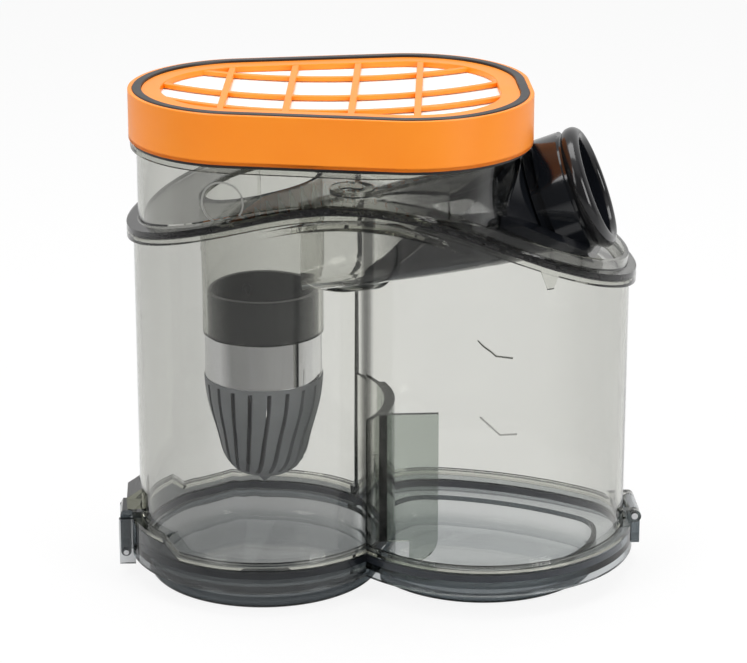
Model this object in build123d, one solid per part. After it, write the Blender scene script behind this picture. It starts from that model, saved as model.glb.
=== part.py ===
from build123d import *
import os
from math import cos, radians, sin, sqrt

os.makedirs("parts", exist_ok=True)

# Driving sizes, in millimetres. Z is up, the frame's X runs from latch to hinge.
cyclone_r = 57.6          # outer radius of the cyclone chamber
dust_r = 65.9             # outer radius of the dust chamber
lobe_pitch = 100.2        # distance between the two chamber axes
wall = 2.4                # wall of the clear shells
latch_stand_off = 9.8     # cyclone wall to the outermost point of the latch
hinge_stand_off = 7.4     # dust wall to the outermost point of the hinge
latch_reach = cyclone_r + latch_stand_off
hinge_reach = dust_r + hinge_stand_off

# The frame's origin lies under the middle of the whole object's length
cyclone_x = -(lobe_pitch + hinge_reach - latch_reach) / 2
dust_x = cyclone_x + lobe_pitch

# Helpers for cuts and fits
above_all = 260.0         # a level above the whole object
far_out = 160.0           # a distance beyond the whole object
past = 1.0                # how far a cut runs past the face that it opens
fit = 0.04                # clearance of a plugged-in fit
running_clear = 0.08
press_clear = 0.03

# Flattened back of the dust chamber
flat_turn = 65.5          # the direction it faces, in degrees from X
flat_depth = 17.2         # how far it cuts into the round wall
flat_r = 163.0
flat_corner_r = 30.0

# Lid levels
foot_inset_cyclone = 3.6  # from the chamber wall to the foot
foot_inset_dust = 11.9
foot_fillet = 4.0
dish_floor_z = 4.0
dish_fillet = 6.0
skirt_z = 11.0            # lower edge of the lid's outer band
plate_z = 14.0            # underside of the lid's plate
seat_z = 17.0             # upper face of the lid's plate
lid_top_z = 22.0          # upper edge of the lid's rim
rim_width = 4.5           # how far lid band and bin rim stand out from the wall
lid_clear = 0.5           # gap between lid rim and bin wall
skirt_wall = 3.0
foot_wall = 2.4
seal_inset = 0.6          # the lid seal reaches this far inside the bin wall
raise_height = 6.0        # the rims of lid and bin stand this much higher beside the latch
raise_foot_x = cyclone_x - 39.5
raise_top_x = cyclone_x - 46.0
raised_z = lid_top_z + raise_height

# Bin levels
bin_bottom_z = 20.0       # the bin's lower edge stands on the lid seal
rim_gap = 0.4             # from the lid's rim to the bin's
bin_rim_height = 2.0
partition_z = 82.0        # top of the wall between the chambers
notch_drop = 8.0          # the waist between the chambers closes this far under the parting line
pocket_gap = 0.6          # from the duct to its pocket in the waist

# Domed parting line between bin and upper housing, as points in X and Z
parting_curve = [
    (cyclone_x - cyclone_r - 18.0, 159.5),
    (cyclone_x - 31.0, 175.0),
    (cyclone_x + 40.0, 186.5),
    (dust_x + 2.0, 170.5),
    (dust_x + dust_r + 16.0, 137.5),
]
dome_foot_z = 100.0       # a level under the whole parting line
flange_width = 3.0
flange_height = 2.5
gasket = 1.0              # thickness of the seal between the flanges
gasket_inset = 0.8

# Snap boss under the bin's flange, at the front beside the port
snap_x = dust_x + 23.3
snap_top_half = 5.3
snap_foot_half = 1.5
snap_low_z = 152.2
snap_reach = 2.6          # how far it stands out from the wall

# Filter cassette: an egg outline round a small and a large circle
egg_small_r = 56.0
egg_large_r = 68.3
egg_small_x = cyclone_x - 3.7
egg_large_x = cyclone_x + 51.9
filter_bottom_z = 206.9
filter_height = 22.2
filter_top_z = filter_bottom_z + filter_height
filter_wall = 2.5
filter_foot = 5.0         # width of the inward foot under the cassette
filter_foot_height = 2.0
groove_width = 4.0        # groove of the top seal
groove_depth = 2.7
grille_drop = 0.6         # the grille lies this far under the cassette's lip
grille_height = 2.8
grille_border = 3.6
grille_bar = 3.4
grille_cross_bars = 4
grille_long_bars = 3
seal_proud = 0.4
fleece_height = 0.6
pleat_pitch = 7.0
pleat_sheet = 3.4         # upright thickness of the folded sheet

# Plenum wall of the upper housing
plenum_inset = 4.3        # from the cassette's outline to the plenum wall
lip_inset = 1.5
lip_height = 2.5
base_seal_height = 1.5
plenum_rib_places = [cyclone_x - 1.6, cyclone_x + 38.7, cyclone_x + 80.0]
plenum_rib = 1.4
plenum_rib_depth = 2.0

# Low skirt along the deck's edge beside the port
skirt_x = dust_x - 11.0
skirt_inset = 0.6
skirt_sheet = 1.8
skirt_rise = 4.6
skirt_rib_places = [dust_x + 24.2, dust_x + 39.0]
skirt_rib = 1.0
skirt_rib_depth = 0.9

# Outlet tube and shroud, on the cyclone axis
tube_r = 27.7
tube_wall = 2.2
tube_bottom_z = 116.0
collar_top_z = 136.0
collar_wall = 2.2
ring_r = 26.9
ring_bottom_z = 95.0
cone_overhang = 0.4       # the cone is this much wider than the ring above it
cone_r = ring_r + cone_overhang
# The cone's side, as points with how far it draws in and how deep it lies
cone_profile = [(0.0, 0.0), (1.9, 14.5), (5.8, 29.0), (9.8, 41.5), (15.5, 46.5)]
cone_nub_r = 4.7
cone_nub_depth = 48.5
cone_tip_depth = 53.5
cone_wall = 3.4
cone_band = 2.0           # closed band over the slots
cone_slots = 20
cone_slot_width = 1.9
cone_slot_turn = 25.0     # the slots slant, so that the bars between them overlap like blades
cone_slot_length = 18.0
cone_slot_depth = 44.0
cone_spigot = 8.0
spigot_wall = 2.2

# Inlet port: its axis rises to the right
port_face = Vector(dust_x + 50.3, -6.0, 183.0)
port_rise = 21.4
port_yaw = 11.0           # the axis turns to the front
port_bore_r = 22.0
port_neck_r = 26.0
port_length = 26.0
port_collar_r = 28.0
port_collar_back = 21.0
port_collar_height = 11.5
port_saddle_r = 40.0
port_saddle_height = 5.0
port_saddle_inset = 3.4
port_reach = 60.0         # cuts along the axis run this far
inlet_seal_r = 28.2
inlet_seal_length = 8.6
inlet_seal_rounding = 4.1
inlet_seal_lip = 2.6
inlet_lip_rounding = 2.5

# Inlet duct: stations of its run, each with a centre, width, height and corner radius
duct_wall = 2.0
duct_start_size = 2 * (port_bore_r + duct_wall)
duct_middle = Vector(cyclone_x + 62.0, -30.0, 170.5)
duct_middle_size = (34.0, 43.0, 14.0)
duct_end = Vector(cyclone_x + 16.0, -42.0, 166.0)
duct_end_size = (20.0, 36.0, 8.0)
ramp_end = Vector(cyclone_x - 29.0, -41.0, 166.0)
ramp_end_size = (16.0, 20.0, 6.0)
tube_edge = (cyclone_x + 76.0, 172.0)     # a point on the slanted edge where port and duct meet
tube_slope = 36.6         # rise of that edge, in degrees
boss_place = Pos(cyclone_x + 39.0, -37.0)
boss_r = 9.8
boss_hole_r = 6.0
boss_top_z = 192.0

# Dust baffle
baffle_sheet = 2.4
baffle_y = -25.0
baffle_reach = 78.5       # cyclone axis to the fin's free edge
baffle_toe = 8.0          # from the partition to the part that dips into the lid
baffle_bottom_z = 10.0
baffle_corner = 12.0
baffle_sweep = 46.0       # how far the shoe runs along Y

# Hinge
knuckle_r = 3.0
hinge_x = dust_x + hinge_reach - knuckle_r
hinge_z = 25.6
knuckle_half = 9.0
ear_gap = 0.3
ear_width = 4.0
ear_root = 6.0           # the ears reach this far into the wall
hinge_pin_r = 1.5

# Latch
lever_half = 7.9
lever_r = 2.4
lever_inset = 0.6         # the lever lies this far inside its cheeks
latch_x = cyclone_x - latch_reach + lever_r + lever_inset
latch_z = 11.5
lever_top_z = 31.4
hook_z = 28.2
hook_reach = 2.6
hook_nose = 1.0
lever_chamfer = 1.0
cheek_gap = 0.3
cheek_width = 2.5
cheek_root = 2.0          # the cheeks reach this far into the rim
cheek_bottom_z = 6.0
cheek_top_z = raised_z
latch_pin_r = 1.2
pocket_depth = 1.1
catch_z = 25.6
catch_height = 2.4
catch_reach = 3.8
hood_z = 32.6
hood_height = 11.4
hood_reach = 5.9
hood_overhang = 2.0       # the hood is this much wider than the lever on each side
catch_inset = 1.0         # and the catch this much narrower
catch_root = 3.0          # both reach this far into the wall


# Outlines in plan

def round_lobe(x, r):
    return Pos(x, 0) * Circle(r)


def cyclone_lobe(grow):
    return round_lobe(cyclone_x, cyclone_r + grow)


def dust_lobe(grow):
    """The dust chamber's outline: a round wall and a flattened back, with rounded corners between."""
    away = flat_r + flat_depth - dust_r
    to_round = dust_r - flat_corner_r
    to_flat = flat_r - flat_corner_r
    u = (to_flat ** 2 - to_round ** 2 - away ** 2) / (2 * away)
    corner = Vector(u, sqrt(to_round ** 2 - u ** 2))
    flat_centre = Vector(-away, 0)
    from_round = corner / to_round
    from_flat = (corner - flat_centre) / to_flat
    round_end = from_round * (dust_r + grow)
    flat_end = flat_centre + from_flat * (flat_r + grow)
    middle = corner + (from_round + from_flat).normalized() * (flat_corner_r + grow)
    edges = [
        ThreePointArc(round_end, (-dust_r - grow, 0), (round_end.X, -round_end.Y)),
        ThreePointArc((round_end.X, -round_end.Y), (middle.X, -middle.Y), (flat_end.X, -flat_end.Y)),
        ThreePointArc((flat_end.X, -flat_end.Y), (flat_r + grow - away, 0), flat_end),
        ThreePointArc(flat_end, middle, round_end),
    ]
    return Pos(dust_x, 0) * Rot(0, 0, flat_turn) * make_face(edges)


def lobes(grow):
    """Two overlapping outlines, one for each chamber."""
    return cyclone_lobe(grow) + dust_lobe(grow)


def egg_outline(x1, r1, x2, r2):
    """Two circles joined by their common tangents."""
    lean = (r2 - r1) / (x2 - x1)
    rise = sqrt(1 - lean * lean)
    near = (x1 - r1 * lean, r1 * rise)
    far = (x2 - r2 * lean, r2 * rise)
    edges = [
        ThreePointArc(near, (x1 - r1, 0), (near[0], -near[1])),
        Line((near[0], -near[1]), (far[0], -far[1])),
        ThreePointArc((far[0], -far[1]), (x2 + r2, 0), far),
        Line(far, near),
    ]
    return make_face(edges)


def hull(grow):
    return egg_outline(cyclone_x, cyclone_r + grow, dust_x, dust_r + grow)


def egg(grow):
    return egg_outline(egg_small_x, egg_small_r + grow, egg_large_x, egg_large_r + grow)


def prism(outline, z_low, z_high):
    return extrude(Pos(0, 0, z_low) * outline, z_high - z_low)


def block(x_low, x_high, y_low, y_high, z_low, z_high):
    middle = Pos((x_low + x_high) / 2, (y_low + y_high) / 2, (z_low + z_high) / 2)
    return middle * Box(x_high - x_low, y_high - y_low, z_high - z_low)


def rod(x, z, r, y_low, y_high):
    """A round bar along Y."""
    return Pos(x, (y_low + y_high) / 2, z) * Rot(90, 0, 0) * Cylinder(r, y_high - y_low)


def side_profile(points, y_low, y_high):
    """A polygon in X and Z, as thick as the stretch of Y."""
    face = Plane.XZ * make_face(Polyline(points + points[:1]))
    return Pos(0, y_high, 0) * extrude(face, y_high - y_low)


# The space under the domed parting line, and bands that follow it

def under_dome(lift):
    curve = Spline([(x, z + lift) for x, z in parting_curve])
    left, left_z = parting_curve[0]
    right, right_z = parting_curve[-1]
    sides = Polyline((right, right_z + lift), (right, 0), (left, 0), (left, left_z + lift))
    return extrude(Plane.XZ * make_face([curve, sides]), far_out, both=True)


def dome_band(low, high):
    return under_dome(high) - under_dome(low)


# Inlet axis and the duct's forms

def port_axis_plane(along):
    """Plane across the inlet axis; along counts outwards from the port's face."""
    rise = radians(port_rise)
    yaw = radians(port_yaw)
    direction = Vector(cos(rise) * cos(yaw), -cos(rise) * sin(yaw), sin(rise))
    return Plane(origin=port_face + direction * along, x_dir=(sin(yaw), cos(yaw), 0), z_dir=direction)


def port_cylinder(r, along_low, along_high):
    return extrude(port_axis_plane(along_low) * Circle(r), along_high - along_low)


def duct_section(centre, size, grow):
    """A rounded rectangle across X."""
    plane = Plane(origin=centre, x_dir=(0, 1, 0), z_dir=(1, 0, 0))
    width, height, corner = size
    return plane * RectangleRounded(width + 2 * grow, height + 2 * grow, corner + grow)


def duct_solid(grow):
    """The duct's outer form, made larger all round by grow."""
    start = port_axis_plane(-port_length) * Circle(duct_start_size / 2 + grow)
    middle = duct_section(duct_middle, duct_middle_size, grow)
    return loft([start, middle, duct_section(duct_end, duct_end_size, grow)])


def port_side(grow):
    """The space under the slanted edge where the port's tube takes over from the duct."""
    x, z = tube_edge
    across = far_out * cos(radians(tube_slope))
    up = far_out * sin(radians(tube_slope))
    corners = [(x - across - grow, z - up), (x + across - grow, z + up), (x + across - grow, z - up)]
    return side_profile(corners, -far_out, far_out)


def ramp_solid(grow):
    """The roof that carries on from the duct's mouth and sinks into the deck."""
    mouth = duct_end - Vector(fit, 0, 0)
    return loft([duct_section(mouth, duct_end_size, grow), duct_section(ramp_end, ramp_end_size, grow)])


# The line where the rims of lid and bin meet, raised beside the latch

def rim_line(lift):
    level = lid_top_z + lift
    raised = raised_z + lift
    return [(far_out, level), (raise_foot_x, level), (raise_top_x, raised), (-far_out, raised)]


def latch_gap(x_inner, z_low):
    """Room for the lever, as far inwards as the given X."""
    half = lever_half + cheek_gap
    return block(-far_out, x_inner, -half, half, z_low, above_all)


# Bin body

def hinge_ears():
    ears = Part()
    for side in (-1, 1):
        inner = side * (knuckle_half + ear_gap)
        outer = side * (knuckle_half + ear_gap + ear_width)
        low = min(inner, outer)
        high = max(inner, outer)
        root = dust_x + dust_r - ear_root
        ears += block(root, hinge_x, low, high, hinge_z - knuckle_r, hinge_z + knuckle_r)
        ears += rod(hinge_x, hinge_z, knuckle_r, low, high)
    return ears


def latch_catch():
    face_x = cyclone_x - cyclone_r
    inside_x = face_x + catch_root
    catch_half = lever_half - catch_inset
    ledge = block(face_x - catch_reach, inside_x, -catch_half, catch_half, catch_z, catch_z + catch_height)
    hood_half = lever_half + hood_overhang
    top_z = hood_z + hood_height
    outer_x = face_x - hood_reach
    hood = side_profile([(inside_x, hood_z), (outer_x, hood_z), (outer_x, top_z - hood_reach),
                         (inside_x, top_z)], -hood_half, hood_half)
    return ledge + hood


def bin_rim():
    band = rim_line(rim_gap) + rim_line(rim_gap + bin_rim_height)[::-1]
    rim = prism(lobes(rim_width), lid_top_z, above_all) & side_profile(band, -far_out, far_out)
    hinge_half = knuckle_half + ear_gap
    rim -= block(dust_x + dust_r + lid_clear, far_out, -hinge_half, hinge_half, 0, above_all)
    return rim - latch_gap(cyclone_x - cyclone_r + wall, 0)


def snap_boss():
    top_z = snap_low_z + 2 * snap_top_half
    outline = [(snap_x - snap_top_half, top_z), (snap_x - snap_foot_half, snap_low_z),
               (snap_x + snap_foot_half, snap_low_z), (snap_x + snap_top_half, top_z)]
    ring = prism(hull(snap_reach) - hull(-wall / 2), dome_foot_z, above_all)
    return side_profile(outline, -far_out, 0) & ring & under_dome(-gasket / 2)


def make_bin_body():
    under_flange = -gasket / 2
    pocket = duct_solid(pocket_gap + wall) & prism(hull(0), 0, above_all)
    shell = prism(lobes(0), bin_bottom_z, above_all) & under_dome(-notch_drop)
    shell += prism(hull(0), dome_foot_z, above_all) & dome_band(-notch_drop, under_flange)
    shell += pocket & under_dome(under_flange)
    flange = prism(hull(flange_width), dome_foot_z, above_all)
    shell += flange & dome_band(under_flange - flange_height, under_flange)
    shell += bin_rim() + hinge_ears() + latch_catch() + snap_boss()
    shell -= prism(cyclone_lobe(-wall), 0, partition_z)
    shell -= prism(dust_lobe(-wall) - cyclone_lobe(0), 0, partition_z)
    shell -= prism(lobes(-wall), partition_z, above_all)
    shell -= prism(hull(-wall), dome_foot_z, above_all) - under_dome(wall - notch_drop)
    shell -= duct_solid(pocket_gap)
    return shell - rod(hinge_x, hinge_z, hinge_pin_r + press_clear, -far_out, far_out)


# Upper housing: a domed deck with the inlet ramp, the plenum wall on it and the outlet tube through it

deck_low = gasket / 2
deck_top = deck_low + flange_height


def housing_skirt():
    """A low wall on the deck's edge beside the port, with small ribs outside."""
    band = dome_band(deck_low + flange_height / 2, deck_top + skirt_rise)
    ring = hull(-skirt_inset) - hull(-skirt_inset - skirt_sheet)
    skirt = prism(ring, dome_foot_z, above_all) & band
    skirt &= block(skirt_x, far_out, -far_out, far_out, dome_foot_z, above_all)
    rib_ring = hull(skirt_rib_depth - skirt_inset) - hull(-skirt_inset - skirt_sheet / 2)
    ribs = prism(rib_ring, dome_foot_z, above_all) & band
    for place in skirt_rib_places:
        half = skirt_rib / 2
        skirt += ribs & block(place - half, place + half, -far_out, 0, dome_foot_z, above_all)
    return skirt


def make_upper_housing():
    deck = prism(hull(flange_width), dome_foot_z, above_all) & dome_band(deck_low, deck_top)
    boss = prism(boss_place * (Circle(boss_r) - Circle(boss_hole_r)), dome_foot_z, boss_top_z)
    housing = deck + housing_skirt()
    housing += (ramp_solid(0) + boss) - under_dome(deck_low)
    housing -= ramp_solid(-duct_wall)
    housing -= prism(round_lobe(cyclone_x, tube_r + fit), 0, above_all)
    housing -= duct_solid(fit)
    return housing - port_cylinder(port_neck_r + fit, -port_length, port_reach)


def make_plenum_wall():
    top = filter_bottom_z - base_seal_height
    space = egg(-plenum_inset - wall)
    plenum = prism(egg(-plenum_inset) - space, dome_foot_z, top)
    plenum += prism(egg(-lip_inset) - space, top - lip_height, top)
    rib_ring = egg(-plenum_inset - wall / 2) - egg(-plenum_inset - wall - plenum_rib_depth)
    ribs = prism(rib_ring, dome_foot_z, top)
    for place in plenum_rib_places:
        half = plenum_rib / 2
        plenum += ribs & block(place - half, place + half, -far_out, 0, dome_foot_z, above_all)
    plenum -= under_dome(deck_top + fit)
    plenum -= ramp_solid(fit) + duct_solid(fit)
    return plenum - port_cylinder(port_neck_r + fit, -port_length, port_reach)


def make_outlet_tube():
    ring = Circle(tube_r) - Circle(tube_r - tube_wall)
    return prism(Pos(cyclone_x, 0) * ring, tube_bottom_z, above_all) & under_dome(deck_top)


def make_flange_seal():
    ring = hull(flange_width - gasket_inset) - hull(-wall)
    return prism(ring, dome_foot_z, above_all) & dome_band(-gasket / 2, deck_low)


# Inlet

def make_inlet_port():
    front = port_collar_height - port_collar_back
    collar = port_cylinder(port_collar_r, -port_collar_back, front)
    saddle = port_cylinder(port_saddle_r, -port_reach, front)
    saddle &= dome_band(deck_top, deck_top + port_saddle_height)
    saddle &= prism(hull(-port_saddle_inset), dome_foot_z, above_all)
    outside = collar - under_dome(deck_top) + saddle
    outside -= prism(egg(-plenum_inset + fit), 0, filter_bottom_z)
    outside -= duct_solid(fit)
    port = outside + port_cylinder(port_neck_r, -port_length, -inlet_seal_lip)
    port -= duct_solid(-duct_wall)
    return port - port_cylinder(port_bore_r, -port_length - past, port_reach)


def make_inlet_tube():
    tube = (duct_solid(0) & port_side(0)) - duct_solid(-duct_wall)
    return tube - port_cylinder(port_neck_r + fit, -port_length - fit, port_reach)


def make_inlet_seal():
    ring = Pos(0, 0, -inlet_seal_length / 2) * Cylinder(inlet_seal_r, inlet_seal_length)
    ring = fillet(ring.edges().filter_by(GeomType.CIRCLE), inlet_seal_rounding)
    ring -= Cylinder(port_bore_r, port_reach)
    mouth = ring.edges().filter_by(GeomType.CIRCLE).group_by(Axis.Z)[-1].sort_by(SortBy.RADIUS)[0]
    ring = fillet(mouth, inlet_lip_rounding)
    socket = Cylinder(port_neck_r + fit, port_reach)
    ring -= Pos(0, 0, -inlet_seal_lip - port_reach / 2) * socket
    return port_axis_plane(0).location * ring


def make_inlet_duct():
    return duct_solid(0) - duct_solid(-duct_wall) - port_side(fit)


# Shroud

def turned(profile):
    """A solid turned about the cyclone axis from a profile of r and z."""
    face = Plane.XZ * make_face(Polyline(profile + profile[:1]))
    return Pos(cyclone_x, 0, 0) * revolve(face, Axis.Z)


def sleeve(r_inner, r_outer, z_low, z_high):
    return turned([(r_inner, z_low), (r_outer, z_low), (r_outer, z_high), (r_inner, z_high)])


def make_shroud_collar():
    outer = tube_r - tube_wall - fit
    return sleeve(outer - collar_wall, outer, ring_bottom_z, collar_top_z)


def make_shroud_ring():
    return sleeve(tube_r - tube_wall, ring_r, ring_bottom_z, tube_bottom_z)


def cone_body(shrink, below, top_z):
    """A body turned from the cone's side, drawn in by shrink and closed through the points below."""
    side = [(cone_r - shrink - draw, ring_bottom_z - depth) for draw, depth in cone_profile]
    closing = Polyline(side[-1], *below, (0, top_z), (side[0][0], top_z), side[0])
    face = Plane.XZ * make_face([Spline(side), closing])
    return Pos(cyclone_x, 0, 0) * revolve(face, Axis.Z)


def make_shroud_cone():
    top_z = ring_bottom_z
    shoulder_z = top_z - cone_profile[-1][1]
    nub = (cone_nub_r, top_z - cone_nub_depth)
    tip = (0, top_z - cone_tip_depth)
    cone = cone_body(0, [nub, tip], top_z + past) - sleeve(0, far_out, top_z, above_all)
    cone -= cone_body(cone_wall, [(0, shoulder_z)], above_all)
    spigot_r = tube_r - tube_wall - collar_wall - 2 * fit
    band_z = top_z - cone_band
    cone += sleeve(spigot_r - spigot_wall, spigot_r, band_z, top_z + cone_spigot)
    cone += sleeve(spigot_r - spigot_wall, cone_r - cone_wall / 2, band_z, top_z)
    half = cone_slot_width / 2
    reach = cone_slot_length / 2
    slot = block(-reach, reach, -half, half, top_z - cone_slot_depth, band_z)
    slot = Pos(cone_r - cone_slot_length / 4, 0, 0) * Rot(0, 0, cone_slot_turn) * slot
    for index in range(cone_slots):
        cone -= Pos(cyclone_x, 0, 0) * Rot(0, 0, 360 * index / cone_slots) * slot
    return cone


# Dust baffle

def make_dust_baffle():
    fin_x = sqrt((cyclone_r + baffle_sheet) ** 2 - baffle_y ** 2)
    shoe_low = bin_bottom_z + lid_clear
    shoe = prism(cyclone_lobe(baffle_sheet) - cyclone_lobe(fit), shoe_low, partition_z)
    shoe &= block(cyclone_x, far_out, baffle_y, baffle_y + baffle_sweep, 0, above_all)
    outer = cyclone_x + baffle_reach
    root = cyclone_x + fin_x - baffle_sheet / 2
    fin = block(root, outer, baffle_y, baffle_y + baffle_sheet, shoe_low, partition_z)
    toe_x = cyclone_x + cyclone_r + baffle_toe
    toe = block(toe_x, outer, baffle_y, baffle_y + baffle_sheet, baffle_bottom_z, shoe_low)
    blade = fin + toe
    corner = blade.edges().filter_by(Axis.Y).group_by(Axis.Z)[0].sort_by(Axis.X)[-1]
    blade = fillet(corner, baffle_corner)
    return shoe + blade - prism(cyclone_lobe(fit), 0, above_all)


# Filter cassette

def make_filter_frame():
    frame = prism(egg(0), filter_bottom_z, filter_top_z)
    plate_top = filter_top_z - grille_drop
    plate_low = plate_top - grille_height
    frame -= prism(egg(-filter_wall), plate_top, above_all)
    frame -= prism(egg(-filter_foot), 0, filter_bottom_z + filter_foot_height)
    frame -= prism(egg(-filter_wall), filter_bottom_z + filter_foot_height, plate_low)
    groove = egg(-filter_wall) - egg(-filter_wall - groove_width)
    frame -= prism(groove, filter_top_z - groove_depth, above_all)
    window = prism(egg(-filter_wall - groove_width - grille_border), plate_low - past, above_all)
    half = grille_bar / 2
    left = egg_small_x - egg_small_r
    length = egg_large_x + egg_large_r - left
    for index in range(grille_cross_bars):
        place = left + length * (index + 1) / (grille_cross_bars + 1)
        window -= block(place - half, place + half, -far_out, far_out, 0, above_all)
    for index in range(grille_long_bars):
        place = 2 * egg_large_r * ((index + 1) / (grille_long_bars + 1) - 1 / 2)
        window -= block(-far_out, far_out, place - half, place + half, 0, above_all)
    return frame - window


def make_filter_top_seal():
    ring = egg(-filter_wall - fit) - egg(-filter_wall - groove_width + fit)
    return prism(ring, filter_top_z - groove_depth, filter_top_z + seal_proud)


def make_filter_base_seal():
    ring = egg(-lip_inset) - egg(-plenum_inset - wall)
    return prism(ring, filter_bottom_z - base_seal_height, filter_bottom_z)


def make_filter_fleece():
    top = filter_top_z - grille_drop - grille_height
    return prism(egg(-filter_wall - fit), top - fleece_height, top)


def make_filter_pleats():
    top = filter_top_z - grille_drop - grille_height - fleece_height
    bottom = filter_bottom_z + filter_foot_height
    left = egg_small_x - egg_small_r - pleat_pitch
    length = egg_large_x + egg_large_r - left
    upper = []
    lower = []
    for index in range(2 * int(length / pleat_pitch) + 4):
        x = left + index * pleat_pitch / 2
        high = index % 2 == 0
        upper.append((x, top if high else bottom + pleat_sheet))
        lower.append((x, top - pleat_sheet if high else bottom))
    sheet = side_profile(upper + lower[::-1], -egg_large_r, egg_large_r)
    return sheet & prism(egg(-filter_wall - fit), bottom - past, top + past)


# Lid

def foot(outline, floor_z, top_z, rounding):
    cup = prism(outline, floor_z, top_z)
    return fillet(cup.edges().group_by(Axis.Z)[0], rounding)


def make_bottom_lid():
    outer = lobes(rim_width)
    lid = prism(outer, plate_z, seat_z)
    lid += prism(outer - lobes(rim_width - skirt_wall), skirt_z, plate_z)
    under_rim = side_profile(rim_line(0) + [(-far_out, 0), (far_out, 0)], -far_out, far_out)
    lid += prism(outer - lobes(lid_clear), seat_z, raised_z) & under_rim
    bar = prism(cyclone_lobe(seal_inset), 0, above_all)
    wide_bar = prism(cyclone_lobe(seal_inset + foot_wall), 0, above_all)
    lid += foot(cyclone_lobe(-foot_inset_cyclone), 0, plate_z, foot_fillet)
    lid += foot(dust_lobe(-foot_inset_dust), 0, plate_z, foot_fillet) - bar
    dish_top = seat_z + past
    lid -= foot(cyclone_lobe(-foot_inset_cyclone - foot_wall), dish_floor_z, dish_top, dish_fillet)
    lid -= foot(dust_lobe(-foot_inset_dust - foot_wall), dish_floor_z, dish_top, dish_fillet) - wide_bar
    rim_x = cyclone_x - cyclone_r - rim_width
    lid -= latch_gap(rim_x + pocket_depth, 0)
    lid -= latch_gap(cyclone_x - cyclone_r + wall, lid_top_z)
    lid += block(hinge_x - knuckle_r, hinge_x + knuckle_r, -knuckle_half, knuckle_half, skirt_z, hinge_z)
    lid += rod(hinge_x, hinge_z, knuckle_r, -knuckle_half, knuckle_half)
    lid -= rod(hinge_x, hinge_z, hinge_pin_r + running_clear, -far_out, far_out)
    for side in (-1, 1):
        inner = side * (lever_half + cheek_gap)
        far = side * (lever_half + cheek_gap + cheek_width)
        lid += block(cyclone_x - latch_reach, rim_x + cheek_root, min(inner, far), max(inner, far),
                     cheek_bottom_z, cheek_top_z)
    return lid - rod(latch_x, latch_z, latch_pin_r + press_clear, -far_out, far_out)


def make_lid_seal():
    inside = cyclone_lobe(-wall - seal_inset) + (dust_lobe(-wall - seal_inset) - cyclone_lobe(seal_inset))
    return prism(lobes(lid_clear - fit) - inside, seat_z, bin_bottom_z)


def make_hinge_pin():
    half = knuckle_half + ear_gap + ear_width
    return rod(hinge_x, hinge_z, hinge_pin_r, -half, half)


# Latch

def make_latch_lever():
    inner = latch_x + lever_r
    outer = latch_x - lever_r
    hook_x = inner + hook_reach
    outline = [(inner, latch_z), (inner, hook_z), (hook_x, hook_z), (hook_x, hook_z + hook_nose),
               (inner, lever_top_z), (outer + lever_chamfer, lever_top_z),
               (outer, lever_top_z - 2 * lever_chamfer), (outer, latch_z)]
    lever = side_profile(outline, -lever_half, lever_half)
    lever += rod(latch_x, latch_z, lever_r, -lever_half, lever_half)
    return lever - rod(latch_x, latch_z, latch_pin_r + running_clear, -far_out, far_out)


def make_latch_pin():
    half = lever_half + cheek_gap + cheek_width
    return rod(latch_x, latch_z, latch_pin_r, -half, half)


nodes = {
    "bin_body": make_bin_body,
    "upper_housing": make_upper_housing,
    "plenum_wall": make_plenum_wall,
    "outlet_tube": make_outlet_tube,
    "flange_seal": make_flange_seal,
    "inlet_port": make_inlet_port,
    "inlet_tube": make_inlet_tube,
    "inlet_seal": make_inlet_seal,
    "inlet_duct": make_inlet_duct,
    "shroud_collar": make_shroud_collar,
    "shroud_ring": make_shroud_ring,
    "shroud_cone": make_shroud_cone,
    "dust_baffle": make_dust_baffle,
    "filter_frame": make_filter_frame,
    "filter_top_seal": make_filter_top_seal,
    "filter_base_seal": make_filter_base_seal,
    "filter_fleece": make_filter_fleece,
    "filter_pleats": make_filter_pleats,
    "bottom_lid": make_bottom_lid,
    "lid_seal": make_lid_seal,
    "hinge_pin": make_hinge_pin,
    "latch_lever": make_latch_lever,
    "latch_pin": make_latch_pin,
}

# The bin's rim reaches furthest to the front and the flange to the back, and the origin lies between
middle_y = (flange_width - rim_width) / 2

for name, make in nodes.items():
    piece = Pos(0, -middle_y, 0) * make()
    print(name, round(piece.volume), len(piece.solids()))
    export_step(piece, f"parts/{name}.step")
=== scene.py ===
import math

import bpy
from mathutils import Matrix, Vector


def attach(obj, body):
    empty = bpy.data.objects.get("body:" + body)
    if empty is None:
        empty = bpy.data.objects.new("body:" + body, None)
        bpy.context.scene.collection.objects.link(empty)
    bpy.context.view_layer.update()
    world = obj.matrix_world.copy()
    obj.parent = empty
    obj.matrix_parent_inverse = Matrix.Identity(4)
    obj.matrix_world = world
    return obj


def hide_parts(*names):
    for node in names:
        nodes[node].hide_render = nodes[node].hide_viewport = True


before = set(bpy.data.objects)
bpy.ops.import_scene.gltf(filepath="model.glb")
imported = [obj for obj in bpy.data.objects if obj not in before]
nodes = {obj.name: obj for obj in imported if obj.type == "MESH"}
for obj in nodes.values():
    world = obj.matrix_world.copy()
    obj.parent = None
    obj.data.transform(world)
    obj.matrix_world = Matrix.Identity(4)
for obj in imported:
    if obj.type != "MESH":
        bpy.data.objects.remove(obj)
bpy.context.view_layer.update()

# Camera, in metres: where it stands and what it looks at
CAMERA_PLACE = Vector((-0.0707, -1.29585, 0.5402))
CAMERA_TARGET = Vector((-0.0030, -0.00235, 0.1143))
CAMERA_LENS = 144.6
CAMERA_SENSOR = 36.0

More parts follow.
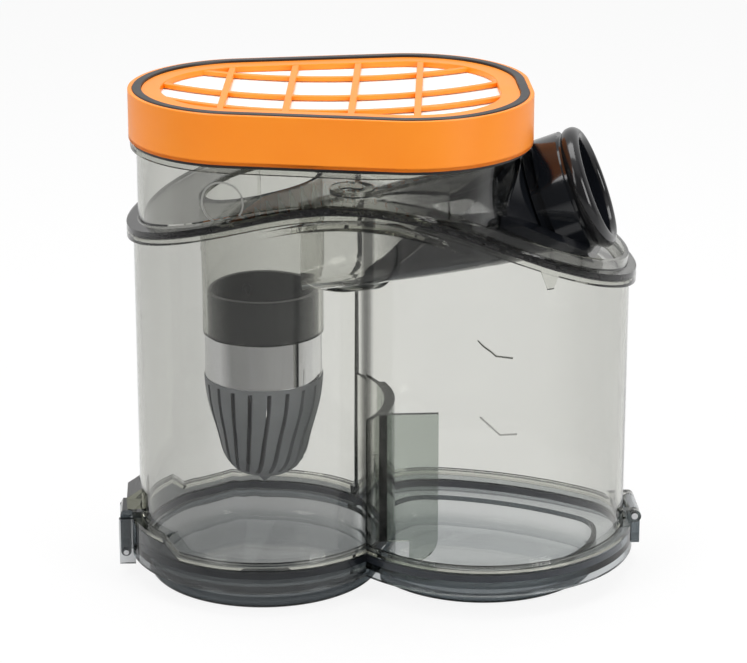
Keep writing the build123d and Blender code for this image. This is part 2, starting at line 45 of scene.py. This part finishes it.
# Light levels
WORLD_LIGHT = 0.50        # the even light that falls on dull surfaces
FRONT_DARK = 0.10         # the unlit room in front, as mirrors and clear plastic see it
OVERHEAD = 0.85           # the soft light above, as they see it
KEY_POWER = 6.0
FILL_POWER = 7.5
TOP_POWER = 9.0
FLOOR_SIZE = 6.0
FLOOR_GLOW = 0.86         # share of the floor's white that no shadow takes away

# Where the surroundings change and the level on either side: from, to, first level, second level
WORLD_BACK = (-0.30, 0.25, FRONT_DARK, 1.0)     # by direction, front to back
WORLD_CEILING = (0.60, 0.85, 0.0, OVERHEAD)     # by direction, upwards
FLOOR_MIRROR_PAINTED_SHADE = (-0.25, -0.02, 0.42, 0.90)     # in metres, front to back: painted shade, the floor's colour darker in front, as mirrors see it
FLOOR_LEFT_PAINTED_SHADE = (-0.22, 0.02, 0.80, 1.0)           # left to right: painted shade, the floor's glow darker to the left, as clear plastic sees it
FLOOR_FRONT_PAINTED_SHADE = (-0.15, 0.0, 0.35, 1.0)           # front to back: painted shade, the floor's glow darker in front, as clear plastic sees it

# Lamps: name, place, target, size and power
LAMPS = [
    ("key", (-0.9, -0.8, 0.9), (0, 0, 0.12), (0.5, 0.9), KEY_POWER),
    ("fill", (0.9, -0.9, 0.6), (0, 0, 0.12), (0.4, 0.9), FILL_POWER),
    ("top", (0.0, 0.1, 1.3), (0, 0, 0.2), (0.9, 0.7), TOP_POWER),
]

# Clear plastics
PLASTIC_IOR = 1.46
SMOKE_DENSITY = 175.0
SMOKE_ROUGHNESS = 0.015
LIGHT_BOUNCES = 32        # enough to pass through all the walls
SIDE_X = 0.12             # the mouldings reach this far to the left and right
WAIST_X = -0.008          # the crease between the two chambers
CREASE_HALF = 0.0016
PAINTED_CREASE_SHADE = 0.30       # painted shade: the base colour in the crease is darkened to this share, for the dark line that the thick corner shows
CREASE_FRONT_Y = -0.02    # in front of this the crease has its full painted shade
CREASE_END_Y = -0.01      # behind this it has none

# Filter cassette, in metres: an outline round three equal circles, its levels and its grille
CASSETTE_R = 0.0545
CASSETTE_CENTRES = [Vector((-0.05725, -0.00075)), Vector((0.01245, -0.01505)), Vector((0.01245, 0.00575))]
CASSETTE_STEPS = 180
CASSETTE_LOW = 0.2069
CASSETTE_TOP = 0.2291
CASSETTE_WALL = 0.0020
CASSETTE_BEVEL = 0.0005
GROOVE = 0.0040           # width of the top seal's groove
GROOVE_FLOOR = 0.2264
SEAL_TOP = 0.2295
GRILLE_LOW = 0.2257
GRILLE_TOP = 0.2285
GRILLE_BORDER = 0.0085
BORDER_INSET = CASSETTE_WALL + GROOVE
WINDOW_INSET = BORDER_INSET + GRILLE_BORDER
BAR_END_INSET = BORDER_INSET + GRILLE_BORDER / 2
BAR_WIDTH = 0.0030
BAR_STEP = 0.0002         # the long bars lie this much under the cross bars, and those under the border
CROSS_BARS = 4
CROSS_FIRST_X = -0.0681
CROSS_PITCH = 0.0285
CROSS_LEAN = math.radians(4.6)
BOW_X = -0.0181           # the long bars are bowed to the front about this place
BOW_R = 0.121
BOW_PLACES = [0.0188, -0.0172, -0.0432]
BOW_STEPS = 24
BASE_SEAL_LOW = 0.2054
BASE_SEAL_INSET = 0.0015
BASE_SEAL_WIDTH = 0.0052
BASE_SEAL_INNER = BASE_SEAL_INSET + BASE_SEAL_WIDTH
FLEECE_SHEET = 0.0006
PLEAT_PITCH = 0.0070
PLEAT_SHEET = 0.0034      # upright thickness of the folded paper

# Plain moulded marks on the clear walls, in metres and degrees
MARK_WIDTH = 0.0008
MARK_STAND = 0.0003
DUST_MIDDLE = Vector((0.04715, 0.00075))
DUST_R = 0.06592
FRONT_MARK = [(-95.9, 0.0947), (-88.2, 0.0863), (-81.6, 0.0863)]
BACK_MIDDLE = Vector((-0.00025, -0.10325))
BACK_R = 0.16055          # inner face of the flattened back
BACK_MARK = [(72.0, 0.0922), (68.8, 0.0852), (65.8, 0.0852)]
PLENUM_MIDDLE = Vector((-0.05675, 0.00075))
PLENUM_R = 0.05172
RING_TURN = -105.8
RING_Z = 0.1890
RING_R = 0.0092
RING_STEPS = 48


# Material helpers

def new_material(name):
    """A material with only an output and a Principled shader."""
    material = bpy.data.materials.new(name)
    material.use_nodes = True
    tree = material.node_tree
    shader = tree.nodes["Principled BSDF"]
    return material, tree, shader


def object_noise(tree, scale, detail=3.0):
    """Noise that keeps to the object's own space."""
    place = tree.nodes.new("ShaderNodeTexCoord")
    noise = tree.nodes.new("ShaderNodeTexNoise")
    noise.inputs["Scale"].default_value = scale
    noise.inputs["Detail"].default_value = detail
    tree.links.new(place.outputs["Object"], noise.inputs["Vector"])
    return noise


def span(tree, value, low, high, to_low, to_high):
    """A number that runs between two levels while another runs between two places."""
    ramp = tree.nodes.new("ShaderNodeMapRange")
    ramp.inputs["From Min"].default_value = low
    ramp.inputs["From Max"].default_value = high
    ramp.inputs["To Min"].default_value = to_low
    ramp.inputs["To Max"].default_value = to_high
    tree.links.new(value, ramp.inputs["Value"])
    return ramp.outputs["Result"]


def combine(tree, operation, first, second):
    node = tree.nodes.new("ShaderNodeMath")
    node.operation = operation
    tree.links.new(first, node.inputs[0])
    tree.links.new(second, node.inputs[1])
    return node.outputs["Value"]


def noise_bump(tree, shader, scale, strength, distance):
    noise = object_noise(tree, scale)
    bump = tree.nodes.new("ShaderNodeBump")
    bump.inputs["Strength"].default_value = strength
    bump.inputs["Distance"].default_value = distance
    tree.links.new(noise.outputs["Fac"], bump.inputs["Height"])
    tree.links.new(bump.outputs["Normal"], shader.inputs["Normal"])


def noise_range(tree, socket, scale, low, high):
    """Lets a number on a shader wander between two values."""
    noise = object_noise(tree, scale)
    tree.links.new(span(tree, noise.outputs["Fac"], 0.0, 1.0, low, high), socket)


def noise_colour(tree, socket, scale, first, second):
    """Lets a colour wander between two shades."""
    noise = object_noise(tree, scale)
    ramp = tree.nodes.new("ShaderNodeValToRGB")
    ramp.color_ramp.elements[0].position = 0.35
    ramp.color_ramp.elements[1].position = 0.65
    ramp.color_ramp.elements[0].color = (*first, 1)
    ramp.color_ramp.elements[1].color = (*second, 1)
    tree.links.new(noise.outputs["Fac"], ramp.inputs["Fac"])
    tree.links.new(ramp.outputs["Color"], socket)


def paint_shade_along_x(tree, socket, stops, painted_crease_shade):
    """Painted shade: greys at places along the object's length, set into the base colour, with their own
    painted shade in the front crease of the bin.
    """
    place = tree.nodes.new("ShaderNodeTexCoord")
    parts = tree.nodes.new("ShaderNodeSeparateXYZ")
    tree.links.new(place.outputs["Object"], parts.inputs["Vector"])
    reach = span(tree, parts.outputs["X"], -SIDE_X, SIDE_X, 0.0, 1.0)
    ramp = tree.nodes.new("ShaderNodeValToRGB")
    steps = ramp.color_ramp.elements
    while len(steps) < len(stops):
        steps.new(0.5)
    for step, (x, grey) in zip(steps, stops):
        step.position = (x + SIDE_X) / (2 * SIDE_X)
        step.color = (grey, grey, grey, 1)
    tree.links.new(reach, ramp.inputs["Fac"])
    # Painted shade: the base colour is darkened in a narrow band at the crease, at the front only
    left = span(tree, parts.outputs["X"], WAIST_X - 2 * CREASE_HALF, WAIST_X - CREASE_HALF, 1.0, painted_crease_shade)
    right_start = WAIST_X + CREASE_HALF
    right = span(tree, parts.outputs["X"], right_start, right_start + CREASE_HALF, painted_crease_shade, 1.0)
    behind = span(tree, parts.outputs["Y"], CREASE_FRONT_Y, CREASE_END_Y, 0.0, 1.0)
    crease = combine(tree, "MAXIMUM", combine(tree, "MAXIMUM", left, right), behind)
    tree.links.new(combine(tree, "MULTIPLY", ramp.outputs["Color"], crease), socket)


def clear_plastic(name, tint, density, through, roughness, stops, painted_crease_shade=1.0):
    """Smoke-tinted clear moulding, with painted shade along its length in its base colour. Lamps reach what
    lies behind it.
    """
    material, tree, shader = new_material(name)
    paint_shade_along_x(tree, shader.inputs["Base Color"], stops, painted_crease_shade)
    shader.inputs["Transmission Weight"].default_value = 1.0
    shader.inputs["IOR"].default_value = PLASTIC_IOR
    noise_range(tree, shader.inputs["Roughness"], 40.0, roughness * 0.6, roughness * 1.4)
    noise_bump(tree, shader, 25.0, 0.05, 0.0004)
    clear = tree.nodes.new("ShaderNodeBsdfTransparent")
    clear.inputs["Color"].default_value = (*through, 1)
    path = tree.nodes.new("ShaderNodeLightPath")
    mix = tree.nodes.new("ShaderNodeMixShader")
    output = tree.nodes["Material Output"]
    tree.links.new(path.outputs["Is Shadow Ray"], mix.inputs["Fac"])
    tree.links.new(shader.outputs["BSDF"], mix.inputs[1])
    tree.links.new(clear.outputs["BSDF"], mix.inputs[2])
    tree.links.new(mix.outputs["Shader"], output.inputs["Surface"])
    absorb = tree.nodes.new("ShaderNodeVolumeAbsorption")
    absorb.inputs["Color"].default_value = (*tint, 1)
    absorb.inputs["Density"].default_value = density
    tree.links.new(absorb.outputs["Volume"], output.inputs["Volume"])
    return material


def moulded_plastic(name, first, second, roughness, bump_scale, bump_strength, coat=0.0):
    material, tree, shader = new_material(name)
    noise_colour(tree, shader.inputs["Base Color"], 30.0, first, second)
    noise_range(tree, shader.inputs["Roughness"], 60.0, roughness * 0.8, roughness * 1.2)
    noise_bump(tree, shader, bump_scale, bump_strength, 0.0002)
    shader.inputs["Coat Weight"].default_value = coat
    shader.inputs["Coat Roughness"].default_value = 0.08
    return material


def soft_rubber(name, first, second, roughness):
    material, tree, shader = new_material(name)
    noise_colour(tree, shader.inputs["Base Color"], 50.0, first, second)
    noise_range(tree, shader.inputs["Roughness"], 80.0, roughness * 0.8, roughness * 1.2)
    noise_bump(tree, shader, 900.0, 0.12, 0.0001)
    return material


def plated_chrome(name):
    material, tree, shader = new_material(name)
    shader.inputs["Metallic"].default_value = 1.0
    noise_colour(tree, shader.inputs["Base Color"], 20.0, (0.74, 0.74, 0.75), (0.80, 0.80, 0.81))
    noise_range(tree, shader.inputs["Roughness"], 35.0, 0.02, 0.05)
    noise_bump(tree, shader, 18.0, 0.04, 0.0005)
    return material


def drawn_steel(name):
    material, tree, shader = new_material(name)
    shader.inputs["Metallic"].default_value = 1.0
    noise_colour(tree, shader.inputs["Base Color"], 200.0, (0.52, 0.52, 0.53), (0.62, 0.62, 0.63))
    noise_range(tree, shader.inputs["Roughness"], 300.0, 0.25, 0.4)
    return material


def fibre_sheet(name, first, second, scale, strength):
    material, tree, shader = new_material(name)
    noise_colour(tree, shader.inputs["Base Color"], scale, first, second)
    shader.inputs["Roughness"].default_value = 0.9
    noise_bump(tree, shader, scale, strength, 0.0003)
    return material


def dress(material, *names):
    for name in names:
        data = nodes[name].data
        data.materials.clear()
        data.materials.append(material)


# Materials of the object

SMOKE = (0.60, 0.605, 0.54)
SMOKE_THROUGH = (0.84, 0.84, 0.82)
# Painted shade on each clear moulding: a place along its length and the grey painted into its base colour
# there
WALL_PAINTED_SHADES = [(-0.115, 0.84), (-0.03, 0.99), (0.08, 0.99), (0.115, 0.84)]
PLENUM_PAINTED_SHADES = [(-0.11, 0.95), (0.0, 1.0), (0.03, 0.88), (0.07, 0.75)]
DECK_PAINTED_SHADES = [(-0.11, 0.36), (-0.05, 0.40), (-0.02, 1.0), (0.03, 1.0), (0.06, 0.7), (0.11, 0.7)]
DUCT_PAINTED_SHADES = [(-0.05, 1.0), (-0.005, 0.95), (0.015, 0.45), (0.05, 0.36)]
LID_PAINTED_SHADES = [(-0.12, 0.75), (-0.108, 0.42), (WAIST_X - CREASE_HALF, 0.48), (WAIST_X + CREASE_HALF, 0.86),
              (0.115, 0.92)]
PLAIN_SHADES = [(-SIDE_X, 1.0), (SIDE_X, 1.0)]

dress(clear_plastic("bin_smoke", SMOKE, SMOKE_DENSITY, SMOKE_THROUGH, SMOKE_ROUGHNESS, WALL_PAINTED_SHADES,
                    PAINTED_CREASE_SHADE), "bin_body")
dress(clear_plastic("tube_smoke", SMOKE, SMOKE_DENSITY, SMOKE_THROUGH, SMOKE_ROUGHNESS, PLAIN_SHADES),
      "outlet_tube")
dress(clear_plastic("plenum_smoke", SMOKE, SMOKE_DENSITY, SMOKE_THROUGH, SMOKE_ROUGHNESS, PLENUM_PAINTED_SHADES),
      "plenum_wall")
dress(clear_plastic("deck_smoke", SMOKE, SMOKE_DENSITY, SMOKE_THROUGH, SMOKE_ROUGHNESS, DECK_PAINTED_SHADES),
      "upper_housing")
dress(clear_plastic("duct_smoke", SMOKE, SMOKE_DENSITY, SMOKE_THROUGH, SMOKE_ROUGHNESS, DUCT_PAINTED_SHADES),
      "inlet_duct")
dress(clear_plastic("lid_smoke", (0.50, 0.54, 0.56), 230.0, (0.76, 0.78, 0.79), 0.03, LID_PAINTED_SHADES),
      "bottom_lid", "latch_lever")
dress(clear_plastic("baffle_smoke", (0.52, 0.58, 0.53), 560.0, (0.66, 0.68, 0.66), 0.04, PLAIN_SHADES),
      "dust_baffle")
dress(moulded_plastic("port_smoke", (0.006, 0.007, 0.009), (0.008, 0.009, 0.012), 0.12, 60.0, 0.03, 0.4),
      "inlet_port", "inlet_tube")
black_rubber = soft_rubber("black_rubber", (0.010, 0.010, 0.011), (0.016, 0.016, 0.017), 0.40)
dress(black_rubber, "flange_seal", "filter_top_seal", "filter_base_seal")
dress(soft_rubber("port_rubber", (0.010, 0.010, 0.011), (0.014, 0.014, 0.015), 0.16), "inlet_seal")
dress(soft_rubber("grey_rubber", (0.066, 0.072, 0.094), (0.082, 0.088, 0.112), 0.40), "lid_seal")
dress(moulded_plastic("dark_plastic", (0.004, 0.005, 0.007), (0.006, 0.007, 0.010), 0.3, 700.0, 0.1),
      "shroud_collar")
dress(moulded_plastic("slate_plastic", (0.20, 0.21, 0.23), (0.23, 0.24, 0.26), 0.42, 900.0, 0.12),
      "shroud_cone")
orange_plastic = moulded_plastic("orange_plastic", (0.98, 0.262, 0.006), (1.0, 0.285, 0.009),
                                 0.38, 800.0, 0.08, 0.06)
dress(orange_plastic, "filter_frame")
white_fleece = fibre_sheet("white_fleece", (0.90, 0.90, 0.88), (0.96, 0.96, 0.95), 700.0, 0.5)
dress(white_fleece, "filter_fleece")
filter_paper = fibre_sheet("filter_paper", (0.84, 0.83, 0.78), (0.92, 0.91, 0.87), 500.0, 0.3)
dress(filter_paper, "filter_pleats")
dress(plated_chrome("chrome"), "shroud_ring")
dress(drawn_steel("steel"), "hinge_pin", "latch_pin")


# Filter cassette

def cassette_reach(way):
    """How far the three circles' centres reach in a direction."""
    return max(centre.dot(way) for centre in CASSETTE_CENTRES)


def cassette_ways():
    turns = [2 * math.pi * index / CASSETTE_STEPS for index in range(CASSETTE_STEPS)]
    return [Vector((math.cos(turn), math.sin(turn))) for turn in turns]


def cassette_outline(inset):
    """The outline as points, drawn in by inset."""
    points = []
    for way in cassette_ways():
        centre = max(CASSETTE_CENTRES, key=way.dot)
        points.append(centre + way * (CASSETTE_R - inset))
    return points


def inside_cassette(point, inset):
    return all(point.dot(way) <= cassette_reach(way) + CASSETTE_R - inset for way in cassette_ways())


def add_loops(mesh, loops, closed):
    """Adds skins between loops of equal length, to a mesh of points and faces."""
    points, faces = mesh
    count = len(loops[0])
    first = len(points)
    for loop in loops:
        points.extend(loop)
    rows = len(loops) if closed else len(loops) - 1
    for row in range(rows):
        low = first + row * count
        high = first + (row + 1) % len(loops) * count
        for index in range(count):
            after = (index + 1) % count
            faces.append((low + index, low + after, high + after, high + index))


def add_ring(mesh, outer_inset, inner_inset, low, high):
    outer = cassette_outline(outer_inset)
    inner = cassette_outline(inner_inset)
    corners = [(outer, low), (outer, high), (inner, high), (inner, low)]
    add_loops(mesh, [[(p.x, p.y, z) for p in loop] for loop, z in corners], True)


def add_bar(mesh, path, low, high):
    """A bar of even width along a path in plan."""
    points, faces = mesh
    first = len(points)
    loops = []
    for index, point in enumerate(path):
        before = path[max(index - 1, 0)]
        after = path[min(index + 1, len(path) - 1)]
        way = (after - before).normalized()
        side = Vector((-way.y, way.x)) * BAR_WIDTH / 2
        corners = ((side, low), (side, high), (-side, high), (-side, low))
        loops.append([(point.x + edge.x, point.y + edge.y, z) for edge, z in corners])
    add_loops(mesh, loops, False)
    last = len(points) - len(loops[-1])
    faces.append((first + 3, first + 2, first + 1, first))
    faces.append((last, last + 1, last + 2, last + 3))


def cross_bar_path(index):
    """A straight bar that leans, out to the grille's border on both sides."""
    middle = Vector((CROSS_FIRST_X + index * CROSS_PITCH, 0))
    way = Vector((math.sin(CROSS_LEAN), math.cos(CROSS_LEAN)))
    ends = []
    for side in (-1, 1):
        reach = 0.0
        while inside_cassette(middle + way * side * reach, BAR_END_INSET):
            reach += BAR_WIDTH / 4
        ends.append(middle + way * side * reach)
    return ends


def bowed_bar_path(place):
    """A long bar on an arc, out to the grille's border on both sides."""
    centre = Vector((BOW_X, place + BOW_R))
    ends = []
    for side in (-1, 1):
        turn = 0.0
        point = centre - Vector((0, BOW_R))
        while inside_cassette(point, BAR_END_INSET):
            turn += side * BAR_WIDTH / 4 / BOW_R
            point = centre + Vector((math.sin(turn), -math.cos(turn))) * BOW_R
        ends.append(turn)
    path = []
    for step in range(BOW_STEPS + 1):
        turn = ends[0] + (ends[1] - ends[0]) * step / BOW_STEPS
        path.append(centre + Vector((math.sin(turn), -math.cos(turn))) * BOW_R)
    return path


def cassette_width(x, inset):
    """Where the outline crosses a line across the cassette, front and back."""
    crossings = []
    outline = cassette_outline(inset)
    for start, end in zip(outline, outline[1:] + outline[:1]):
        if min(start.x, end.x) <= x < max(start.x, end.x):
            share = (x - start.x) / (end.x - start.x)
            crossings.append(start.y + share * (end.y - start.y))
    return min(crossings), max(crossings)


def add_pleats(mesh, inset, low, high):
    """Paper folded to and fro along the cassette, cut to its outline."""
    left = CASSETTE_CENTRES[0].x - CASSETTE_R + inset
    right = CASSETTE_CENTRES[1].x + CASSETTE_R - inset
    folds = 2 * int((right - left) / PLEAT_PITCH) - 1
    spare = (right - left - folds * PLEAT_PITCH / 2) / 2
    loops = []
    for index in range(folds + 1):
        x = left + spare + index * PLEAT_PITCH / 2
        front, back = cassette_width(x, inset)
        top = high if index % 2 == 0 else low + PLEAT_SHEET
        foot = top - PLEAT_SHEET
        loops.append([(x, front, foot), (x, front, top), (x, back, top), (x, back, foot)])
    add_loops(mesh, loops, False)
    last = len(mesh[0]) - 4
    mesh[1].append((0, 1, 2, 3))
    mesh[1].append((last + 3, last + 2, last + 1, last))


def add_piece(name, mesh, material, node, bevel):
    """A piece of the scene on the bin, which may stand for a node."""
    data = bpy.data.meshes.new(name)
    data.from_pydata(mesh[0], [], mesh[1])
    data.validate()
    data.materials.append(material)
    piece = bpy.data.objects.new(name, data)
    bpy.context.scene.collection.objects.link(piece)
    if bevel:
        edges = piece.modifiers.new("edges", "BEVEL")
        edges.width = bevel
        edges.segments = 2
        edges.limit_method = "ANGLE"
    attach(piece, "bin")
    if node:
        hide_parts(node)


def make_cassette():
    frame_mesh = ([], [])
    add_ring(frame_mesh, 0, CASSETTE_WALL, CASSETTE_LOW, CASSETTE_TOP)
    add_ring(frame_mesh, 0, WINDOW_INSET, GRILLE_LOW, GROOVE_FLOOR)
    add_ring(frame_mesh, BORDER_INSET, WINDOW_INSET, GRILLE_LOW, GRILLE_TOP)
    add_ring(frame_mesh, 0, BASE_SEAL_INNER, CASSETTE_LOW, CASSETTE_LOW + CASSETTE_WALL)
    for index in range(CROSS_BARS):
        add_bar(frame_mesh, cross_bar_path(index), GRILLE_LOW + BAR_STEP, GRILLE_TOP - BAR_STEP)
    for place in BOW_PLACES:
        add_bar(frame_mesh, bowed_bar_path(place), GRILLE_LOW + 2 * BAR_STEP, GRILLE_TOP - 2 * BAR_STEP)
    add_piece("cassette_frame", frame_mesh, orange_plastic, "filter_frame", CASSETTE_BEVEL)
    top_seal = ([], [])
    add_ring(top_seal, CASSETTE_WALL, BORDER_INSET, GROOVE_FLOOR, SEAL_TOP)
    add_piece("cassette_top_seal", top_seal, black_rubber, "filter_top_seal", CASSETTE_BEVEL)
    base_seal = ([], [])
    add_ring(base_seal, BASE_SEAL_INSET, BASE_SEAL_INNER, BASE_SEAL_LOW, CASSETTE_LOW)
    add_piece("cassette_base_seal", base_seal, black_rubber, "filter_base_seal", 0)
    sheet = ([], [])
    rim = cassette_outline(CASSETTE_WALL)
    levels = (GRILLE_LOW - FLEECE_SHEET, GRILLE_LOW)
    add_loops(sheet, [[(p.x, p.y, level) for p in rim] for level in levels], False)
    sheet[1].append(tuple(range(CASSETTE_STEPS)))
    sheet[1].append(tuple(range(2 * CASSETTE_STEPS - 1, CASSETTE_STEPS - 1, -1)))
    add_piece("cassette_fleece", sheet, white_fleece, "filter_fleece", 0)
    pleats = ([], [])
    add_pleats(pleats, CASSETTE_WALL, CASSETTE_LOW + CASSETTE_WALL, GRILLE_LOW - FLEECE_SHEET)
    add_piece("cassette_pleats", pleats, filter_paper, "filter_pleats", 0)


make_cassette()


# Moulded marks

def add_wall_line(mesh, middle, radius, stand, path, closed):
    """A raised line on a round wall. The path holds lengths along the wall and heights."""
    loops = []
    for index, point in enumerate(path):
        before = path[index - 1] if closed or index > 0 else point
        after = path[(index + 1) % len(path)] if closed or index < len(path) - 1 else point
        way = (after - before).normalized()
        side = Vector((-way.y, way.x)) * MARK_WIDTH / 2
        corners = []
        for edge, height in ((side, 0), (side, stand), (-side, stand), (-side, 0)):
            turn = (point.x + edge.x) / radius
            out = radius + height
            x = middle.x + math.cos(turn) * out
            y = middle.y + math.sin(turn) * out
            corners.append((x, y, point.y + edge.y))
        loops.append(corners)
    add_loops(mesh, loops, closed)


def level_path(stops, radius):
    return [Vector((math.radians(turn) * radius, z)) for turn, z in stops]


def ring_path():
    middle = Vector((math.radians(RING_TURN) * PLENUM_R, RING_Z))
    turns = [2 * math.pi * index / RING_STEPS for index in range(RING_STEPS)]
    return [middle + Vector((math.cos(turn), math.sin(turn))) * RING_R for turn in turns]


def make_marks():
    mark_smoke = moulded_plastic("mark_smoke", (0.30, 0.30, 0.28), (0.34, 0.34, 0.32), 0.3, 400.0, 0.05)
    levels = ([], [])
    add_wall_line(levels, DUST_MIDDLE, DUST_R, MARK_STAND, level_path(FRONT_MARK, DUST_R), False)
    add_wall_line(levels, BACK_MIDDLE, BACK_R, -MARK_STAND, level_path(BACK_MARK, BACK_R), False)
    add_piece("level_marks", levels, mark_smoke, None, 0)
    ring = ([], [])
    add_wall_line(ring, PLENUM_MIDDLE, PLENUM_R, MARK_STAND, ring_path(), True)
    add_piece("ring_mark", ring, mark_smoke, None, 0)


make_marks()


# Floor, world and lamps

def mix_shaders(tree, share, first, second):
    mix = tree.nodes.new("ShaderNodeMixShader")
    tree.links.new(share, mix.inputs["Fac"])
    tree.links.new(first, mix.inputs[1])
    tree.links.new(second, mix.inputs[2])
    return mix.outputs["Shader"]


def make_world():
    """White to the eye. Mirrors and clear plastic also see a lit back, a lit ceiling and a dark front."""
    world = bpy.data.worlds.new("studio")
    bpy.context.scene.world = world
    world.use_nodes = True
    tree = world.node_tree
    even = tree.nodes["Background"]
    even.inputs["Strength"].default_value = WORLD_LIGHT
    even.inputs["Color"].default_value = (1, 1, 1, 1)
    white = tree.nodes.new("ShaderNodeBackground")
    white.inputs["Color"].default_value = (1, 1, 1, 1)
    studio = tree.nodes.new("ShaderNodeBackground")
    place = tree.nodes.new("ShaderNodeTexCoord")
    parts = tree.nodes.new("ShaderNodeSeparateXYZ")
    tree.links.new(place.outputs["Generated"], parts.inputs["Vector"])
    back = span(tree, parts.outputs["Y"], *WORLD_BACK)
    ceiling = span(tree, parts.outputs["Z"], *WORLD_CEILING)
    tree.links.new(combine(tree, "MAXIMUM", back, ceiling), studio.inputs["Strength"])
    path = tree.nodes.new("ShaderNodeLightPath")
    through = combine(tree, "MAXIMUM", path.outputs["Is Glossy Ray"], path.outputs["Is Transmission Ray"])
    light = mix_shaders(tree, through, even.outputs["Background"], studio.outputs["Background"])
    seen = mix_shaders(tree, path.outputs["Is Camera Ray"], light, white.outputs["Background"])
    tree.links.new(seen, tree.nodes["World Output"].inputs["Surface"])


def make_floor():
    """A pale floor. To the eye it is white with a soft shadow. Through clear plastic it glows with painted
    shade, darker to the left and front, and keeps the soft shadow; mirrors see its colour painted darker in
    front.
    """
    bpy.ops.mesh.primitive_plane_add(size=FLOOR_SIZE, location=(0, 0, 0))
    floor = bpy.context.object
    floor.name = "floor"
    material, tree, shader = new_material("floor_white")
    shader.inputs["Roughness"].default_value = 0.85
    place = tree.nodes.new("ShaderNodeTexCoord")
    parts = tree.nodes.new("ShaderNodeSeparateXYZ")
    tree.links.new(place.outputs["Object"], parts.inputs["Vector"])
    # Painted shade: the floor's colour runs darker towards the front
    painted_floor_shade = span(tree, parts.outputs["Y"], *FLOOR_MIRROR_PAINTED_SHADE)
    tree.links.new(painted_floor_shade, shader.inputs["Base Color"])
    # Painted shade: the glow seen through clear plastic runs darker to the left and to the front
    left = span(tree, parts.outputs["X"], *FLOOR_LEFT_PAINTED_SHADE)
    front = span(tree, parts.outputs["Y"], *FLOOR_FRONT_PAINTED_SHADE)
    path = tree.nodes.new("ShaderNodeLightPath")
    glow = tree.nodes.new("ShaderNodeEmission")
    painted_through_shade = combine(tree, "MULTIPLY", left, front)
    level = combine(tree, "MAXIMUM", path.outputs["Is Camera Ray"], painted_through_shade)
    tree.links.new(level, glow.inputs["Strength"])
    dull = tree.nodes.new("ShaderNodeBsdfDiffuse")
    dull.inputs["Color"].default_value = (0.95, 0.95, 0.95, 1)
    share = tree.nodes.new("ShaderNodeValue")
    share.outputs["Value"].default_value = FLOOR_GLOW
    backdrop = mix_shaders(tree, share.outputs["Value"], dull.outputs["BSDF"], glow.outputs["Emission"])
    clear = combine(tree, "MAXIMUM", path.outputs["Is Camera Ray"], path.outputs["Is Transmission Ray"])
    surface = mix_shaders(tree, clear, shader.outputs["BSDF"], backdrop)
    tree.links.new(surface, tree.nodes["Material Output"].inputs["Surface"])
    floor.data.materials.append(material)


def soft_lamp(name, place, target, size, power):
    data = bpy.data.lights.new(name, "AREA")
    data.shape = "RECTANGLE"
    data.size = size[0]
    data.size_y = size[1]
    data.energy = power
    lamp = bpy.data.objects.new(name, data)
    bpy.context.scene.collection.objects.link(lamp)
    lamp.location = place
    lamp.rotation_euler = (Vector(target) - Vector(place)).to_track_quat("-Z", "Y").to_euler()


def make_camera():
    data = bpy.data.cameras.new("camera")
    data.sensor_width = CAMERA_SENSOR
    data.lens = CAMERA_LENS
    camera = bpy.data.objects.new("camera", data)
    bpy.context.scene.collection.objects.link(camera)
    camera.location = CAMERA_PLACE
    camera.rotation_euler = (CAMERA_TARGET - CAMERA_PLACE).to_track_quat("-Z", "Y").to_euler()
    bpy.context.scene.camera = camera


scene = bpy.context.scene
scene.view_settings.view_transform = "Standard"
scene.cycles.max_bounces = LIGHT_BOUNCES
scene.cycles.transmission_bounces = LIGHT_BOUNCES
scene.cycles.transparent_max_bounces = LIGHT_BOUNCES
make_world()
make_floor()
for lamp in LAMPS:
    soft_lamp(*lamp)
make_camera()
